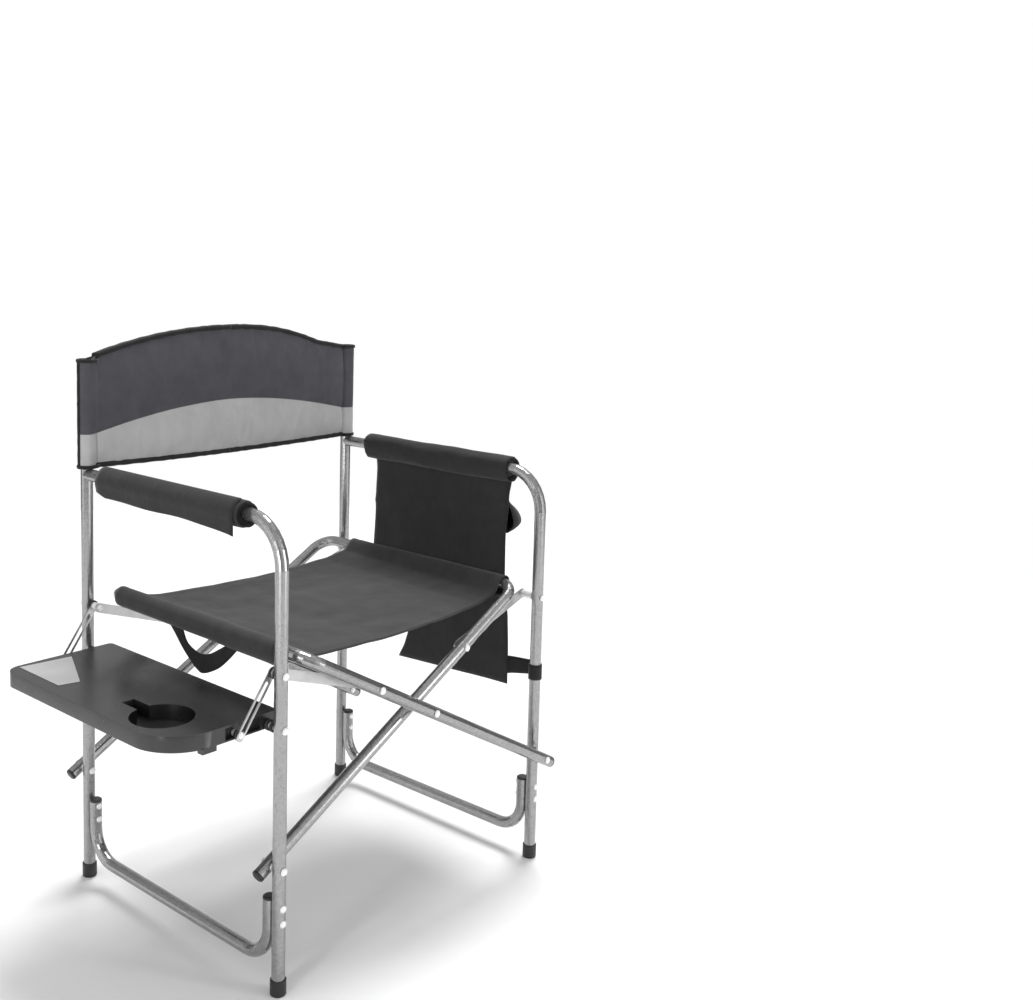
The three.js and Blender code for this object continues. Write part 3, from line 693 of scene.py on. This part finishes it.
# ---------------------------------------------------------------- arm pad and organizer roll
def roll(name, node, side, droop=0):
    """A padded cloth sleeve, open at both ends, with foam set back inside it; droop makes it hang."""
    body = f"{side}_frame"
    low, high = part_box(node)
    centre = Vector(((low.x + high.x) / 2, 0, (low.z + high.z) / 2))
    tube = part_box(f"{side}_arm_tube")
    tube_x = (tube[0].x + tube[1].x) / 2
    radius = (high.z - low.z) / 2 - 0.0004
    length = high.y - low.y
    stations = [(0.009, 0.80), (0.004, 0.86), (0.0008, 0.90), (0.0, 0.94), (0.0006, 0.985), (0.004, 1.0)]
    ends = [(low.y + d, r) for d, r in stations]
    body_rings = [(low.y + length * k / 30, 1.0) for k in range(1, 30)]
    rings = ends + body_rings + [(high.y - d, r) for d, r in reversed(stations)]
    sides = 56
    spokes = [2 * math.pi * k / sides for k in range(sides)]
    points = []
    for y, share in rings:
        for angle in spokes:
            c, s = math.cos(angle), math.sin(angle)
            along = (y - low.y) / length
            dent = ripple(c, y * 9, s, 1.6, 0.0016) + ripple(c * 2, y * 30, s * 2, 1.4, 0.0006)
            flat = 0.0012 * math.cos(2 * angle + 1.2 + along)
            r = (radius - 0.0016) * share + (dent + flat) * (1 if share > 0.9 else 0.5)
            points.append((centre.x + r * c, y, centre.z + r * s - droop * max(0, -s) ** 1.5))
    faces = quads(len(rings), sides, wrap=True)
    shell = make(name, points, faces, MATERIALS["cover_fabric"], body)

    outer, bore = 0.83 * radius, TUBE_RADIUS + 0.0003
    inner = []
    for y in (low.y + 0.008, high.y - 0.008):
        inner += [(centre.x + outer * math.cos(a), y, centre.z + outer * math.sin(a)) for a in spokes]
        inner += [(tube_x + bore * math.cos(a), y, centre.z + bore * math.sin(a)) for a in spokes]
    caps = quads(2, sides, wrap=True)
    caps += [tuple(i + 2 * sides for i in face) for face in caps]
    make(f"{name}_foam", inner, caps, FOAM, body)
    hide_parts(node)


def arm_flap():
    """The cloth folded over the arm pad's outer side; its free edge hangs, lowest at the front."""
    low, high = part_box("left_arm_pad")
    radius = (high.z - low.z) / 2 - 0.0004
    reach = radius + 0.0009
    turned_share = 0.66
    grid = []
    for i in range(41):
        t = i / 40
        y = low.y + 0.007 + (high.y - low.y - 0.011) * t
        cut = 1 - 0.45 * max(0, t - 0.93) / 0.07
        row = []
        for k in range(25):
            u = k / 24
            angle = math.radians(80 - 98 * min(u / turned_share, 1))
            free = max(0, u - turned_share) / (1 - turned_share)
            drop = 0.72 * radius + 0.006 * (1 - t) ** 9 + 0.0008 * math.sin(38 * y)
            x = reach * math.cos(angle) + free * (0.0007 * math.sin(55 * y) - 0.0016)
            z = reach * math.sin(angle) - free * cut * drop
            bow = 0.002 * math.sin(math.pi * u) * (1 - t) ** 4
            row.append(((low.x + high.x) / 2 - x, y - bow, (low.z + high.z) / 2 + z))
        grid.append(row)
    piece = cloth("arm_pad_flap", grid, MATERIALS["cover_fabric"], 0.0014)
    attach(piece, "left_frame")


roll("arm_pad", "left_arm_pad", "left")
arm_flap()
roll("organizer_roll_cover", "organizer_roll", "right", 0.006)


# ---------------------------------------------------------------- organizer
PANEL_LOW, PANEL_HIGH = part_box("organizer_panel")
PANEL_X = (PANEL_LOW.x + PANEL_HIGH.x) / 2


def between(value, knots):
    """Linear interpolation through (place, value) knots in rising order."""
    places, values = zip(*knots)
    return float(np.interp(value, places, values))


# (height, y) along the panel's front and rear edges
FRONT_EDGE = [(0.2775, -0.1675), (0.331, -0.167), (0.404, -0.1635), (0.459, -0.154), (0.547, -0.156),
              (0.590, -0.160), (0.6150, -0.1605), (0.6380, -0.168)]
REAR_EDGE = [(0.274, 0.0865), (0.300, 0.072), (0.336, 0.062), (0.372, 0.082), (0.405, 0.142), (0.4635, 0.160),
             (0.559, 0.156), (0.638, 0.153)]


def panel_x(y, z):
    """The hanging panel's place, with its soft folds."""
    top = PANEL_HIGH.z
    tuck = 0.0025 * math.exp(-((z - top) / 0.012) ** 2)
    fold = 0.0016 * math.sin(13 * y + 9 * z) * min(1, (top - z) / 0.1)
    crease = 0.0018 * math.exp(-((z - 0.596 + 0.12 * (y + 0.16)) / 0.006) ** 2)
    return PANEL_X - tuck + fold - crease + ripple(y, z, 5, 12, 0.003) * min(1, (top - z) / 0.06)


def hanging_panel():
    grid = []
    for i in range(49):
        t = i / 48
        row = []
        for k in range(41):
            u = k / 40
            high, low = PANEL_HIGH.z + 0.003, 0.284 - 0.010 * u
            z = high + (low - high) * t
            front, rear = between(z, FRONT_EDGE), between(z, REAR_EDGE)
            y = front + (rear - front) * u
            hem = 0.0005 * max(0, 1 - abs(min(u, 1 - u) * 0.3 - 0.010) / 0.003)
            row.append((panel_x(y, z) - hem, y, z))
        grid.append(row)
    piece = cloth("organizer_sheet", grid, MATERIALS["cover_fabric"], 0.0016)
    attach(piece, "right_frame")
    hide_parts("organizer_panel")


def patch_pocket(name, node, sag, lip, curl, front=None, swell=0, foot=0):
    """A pocket sewn to the panel down its sides and along its bottom, and open at the top."""
    low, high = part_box(node)
    depth = high.x - low.x
    grid = []
    for i in range(33):
        t = i / 32
        row = []
        for k in range(37):
            u = k / 36
            edge = (low.y if front is None else front) - swell * max(0, math.sin(math.pi * t ** 1.8)) ** 0.8
            y = edge + (high.y - edge) * u
            z = high.z + (low.z + foot - high.z) * t - sag * math.sin(math.pi * u) * (1 - t) ** 3
            side = (1 - abs(2 * u - 1) ** 5) ** 0.6
            down = lip + (1 - lip) * math.sin(math.pi * min(1, t / curl) / 2) if t < curl else (
                max(0, math.cos(math.pi / 2 * (t - curl) / (1 - curl))) ** 0.7)
            x = panel_x(y, z) + 0.0022 + (depth - 0.004) * side * down + ripple(y, z, 9, 22, 0.0014) * side
            row.append((x, y, z))
        grid.append(row)
    piece = cloth(name, grid, MATERIALS["cover_fabric"], 0.0014)
    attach(piece, "right_frame")
    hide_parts(node)
    return piece


hanging_panel()
large_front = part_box("organizer_large_pocket")[0].y + 0.024
large = patch_pocket("large_pocket", "organizer_large_pocket", 0.006, 0.75, 0.5, large_front)
small = patch_pocket("small_pocket", "organizer_small_pocket", 0.002, 0.06, 0.72, -0.157, 0.014, 0.016)


def leg_strap():
    """The band from the panel's front edge round the front leg and back onto itself."""
    leg_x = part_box("right_back_post")[0].x + TUBE_RADIUS
    leg_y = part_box("right_front_foot")[0].y + 0.0114
    low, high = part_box("organizer_strap")
    radius = TUBE_RADIUS + 0.0012
    path = [(PANEL_X + 0.0022, -0.158), (PANEL_X + 0.003, -0.176),
            (leg_x + radius + 0.0008, -0.205), (leg_x + radius, leg_y)]
    for angle in range(-30, -331, -30):
        a = math.radians(angle)
        path.append((leg_x + radius * math.cos(a), leg_y + radius * math.sin(a)))
    line = smooth_line(path, 4)
    grid = []
    for i, (x, y) in enumerate(line):
        wide = max(0, 1 - i / 9)
        foot, head = low.z + 0.002 - 0.013 * wide, high.z + 0.006 - 0.005 * wide
        row = []
        for k in range(5):
            z = foot + (head - foot) * k / 4
            row.append((x + ripple(y, z, 1, 40, 0.0006), y, z))
        grid.append(row)
    piece = cloth("organizer_leg_band", grid, BINDING, 0.0014)
    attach(piece, "right_frame")
    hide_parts("organizer_strap")


leg_strap()


# ---------------------------------------------------------------- carry handle
# (y, height) along the band's two edges
HANDLE_OUTER = [(-0.120, 0.4600), (-0.1096, 0.4517), (-0.0873, 0.4307), (-0.0645, 0.4127), (-0.0349, 0.3993),
                (-0.0198, 0.4031), (-0.0053, 0.4133), (0.0150, 0.4288), (0.0315, 0.4429), (0.0523, 0.4580)]
HANDLE_INNER = [(-0.0940, 0.4600), (-0.0886, 0.4556), (-0.0760, 0.4480), (-0.0643, 0.4410), (-0.0440, 0.4300),
                (-0.0237, 0.4258), (-0.0093, 0.4289), (0.0053, 0.4362), (0.0134, 0.4470), (0.0190, 0.4590)]


def carry_handle():
    """A band of webbing sewn to the seat sleeve at both ends, hanging in a V."""
    x0 = LEFT_RAIL.x - 0.0049
    outer, inner = smooth_line(HANDLE_OUTER, 5), smooth_line(HANDLE_INNER, 5)
    grid = []
    for i, (a, b) in enumerate(zip(outer, inner)):
        t = i / (len(outer) - 1)
        row = []
        for k in range(6):
            y, z = a + (b - a) * k / 5
            x = x0 + 0.004 * math.sin(math.pi * t) * (k / 5 - 0.5) + 0.002 * math.sin(2 * math.pi * t)
            row.append((x, y, z))
        grid.append(row)
    piece = cloth("carry_webbing", grid, BINDING, 0.0022)
    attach(piece, "carry_handle")
    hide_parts("carry_handle")


carry_handle()


# ---------------------------------------------------------------- side table
def softened(name, node, width, body, slot):
    """A copy of a CAD piece with its sharp edges rounded."""
    mesh = frame["nodes"][node].data.copy()
    piece = bpy.data.objects.new(name, mesh)
    bpy.context.scene.collection.objects.link(piece)
    made = bmesh.new()
    made.from_mesh(mesh)
    bmesh.ops.remove_doubles(made, verts=made.verts, dist=1e-6)
    bmesh.ops.dissolve_limit(made, angle_limit=math.radians(2), verts=made.verts, edges=made.edges)
    made.to_mesh(mesh)
    made.free()
    applied(piece, "BEVEL", width=width, segments=3, limit_method="ANGLE", angle_limit=math.radians(40))
    piece.data.materials.clear()
    piece.data.materials.append(MATERIALS[slot])
    for polygon in piece.data.polygons:
        polygon.use_smooth = len(polygon.vertices) < 5
    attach(piece, body)
    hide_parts(node)
    return piece


CUP_X, CUP_Y = -0.332, -0.118
table = softened("side_table_top", "table_top", 0.0022, "side_table", "table_plastic")
TABLE_LOW, TABLE_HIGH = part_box("table_top")
# The cup well and slot walls below the top take the near-black copy of the table plastic: painted shade in the
# recess.
table.data.materials.append(WELL_PAINTED_SHADE)
for polygon in table.data.polygons:
    x, y, z = polygon.center
    in_cup = math.hypot(x - CUP_X, y - CUP_Y) < 0.0447
    in_slot = abs(x - CUP_X) < 0.0103 and CUP_Y < y < -0.0377
    if (in_cup or in_slot) and TABLE_LOW.z + 0.009 < z < TABLE_HIGH.z - 0.0024:
        polygon.material_index = 1


def table_label():
    """A blank film label near the table's rear outer corner."""
    corners = [(-0.3679, 0.1870), (-0.2865, 0.1779), (-0.3377, 0.0729), (-0.3686, 0.0795)]
    top = TABLE_HIGH.z + 0.0002
    points = [(x, y, top + rise) for rise in (0, 0.0003) for x, y in corners]
    faces = [(3, 2, 1, 0), (4, 5, 6, 7)] + [(i, (i + 1) % 4, (i + 1) % 4 + 4, i + 4) for i in range(4)]
    return make("blank_label", points, faces, LABEL, "side_table", smooth=False)


table_label()


# ---------------------------------------------------------------- small hardware
def dome(name, centre, axis, radius, body, height=0.0024):
    """A rivet's domed head."""
    profile = [(0, height), (radius * 0.45, height * 0.93), (radius * 0.8, height * 0.62),
               (radius, height * 0.1), (radius, -0.001)]
    return turned(name, profile, centre, axis, body, "rivet_steel")


LEG_FACE = 0.0096
RAIL_RIVETS = (0.104, 0.1255)
for side in ("left", "right"):
    rail_low, rail_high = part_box(f"{side}_lower_rail")
    rail_x = rail_low.x + TUBE_RADIUS
    for end, way in (("front", -1), ("rear", 1)):
        low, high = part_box(f"{side}_{end}_foot")
        x, y = (low.x + high.x) / 2, (low.y + high.y) / 2
        face = rail_low.y + 2 * LEG_FACE if end == "front" else rail_high.y - 2 * LEG_FACE
        for k, z in enumerate(RAIL_RIVETS, 1):
            head, tail = (x, y + way * LEG_FACE, z), (rail_x, face, z)
            dome(f"{side}_{end}_rail_rivet_{k}", head, (0, way, 0), 0.0052, f"{side}_frame")
            dome(f"{side}_{end}_rail_tail_{k}", tail, (0, -way, 0), 0.0048, f"{side}_frame")


def bushing(name, centre, length, body, radius=0.0084, ribs=4):
    """A ribbed black spacer on a pin, from centre along +Y."""
    profile = [(radius - 0.002, 0)]
    for k in range(ribs):
        for share, size in ((0.1, radius), (0.55, radius), (0.7, radius - 0.0014), (0.95, radius - 0.0014)):
            profile.append((size, length * (k + share) / ribs))
    profile.append((radius - 0.002, length))
    return turned(name, profile, centre, (0, 1, 0), body, "black_plastic")


def axis_of(node):
    """Where a pin's axis stands in X and Z."""
    low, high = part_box(node)
    return (low.x + high.x) / 2, (low.z + high.z) / 2


# Heads and spacers on the table's pins, each given by the Y where it starts
BOSS = 0.0078
pin_x, pin_z = axis_of("table_front_bracket_pin")
dome("front_bracket_rivet", (pin_x, -0.2164, pin_z), (0, -1, 0), 0.0050, "side_table", 0.002)
dome("rear_bracket_rivet", (pin_x, 0.2164, pin_z), (0, 1, 0), 0.0050, "side_table", 0.002)
bushing("front_bracket_boss", (pin_x, -0.2130, pin_z), 0.0072, "side_table", BOSS, 1)
bushing("rear_bracket_boss", (pin_x, 0.1958, pin_z), 0.0172, "side_table", BOSS, 2)
strut_x, strut_z = axis_of("left_front_strut_pin")
bushing("front_bracket_bushing", (strut_x, -0.2205, strut_z), 0.0043, "left_frame")
bushing("rear_bracket_bushing", (strut_x, 0.2162, strut_z), 0.0066, "left_frame")
hinge_x, hinge_z = axis_of("table_front_hinge_pin")
for name, start, length, ribs in (
    ("front_hinge_bushing_inner", -0.2134, 0.0066, 2),
    ("front_hinge_bushing_outer", -0.2229, 0.0066, 2),
    ("rear_hinge_bushing_inner", 0.1961, 0.0171, 4),
    ("rear_hinge_bushing_outer", 0.2163, 0.0066, 2),
):
    bushing(name, (hinge_x, start, hinge_z), length, "left_frame", BOSS, ribs)
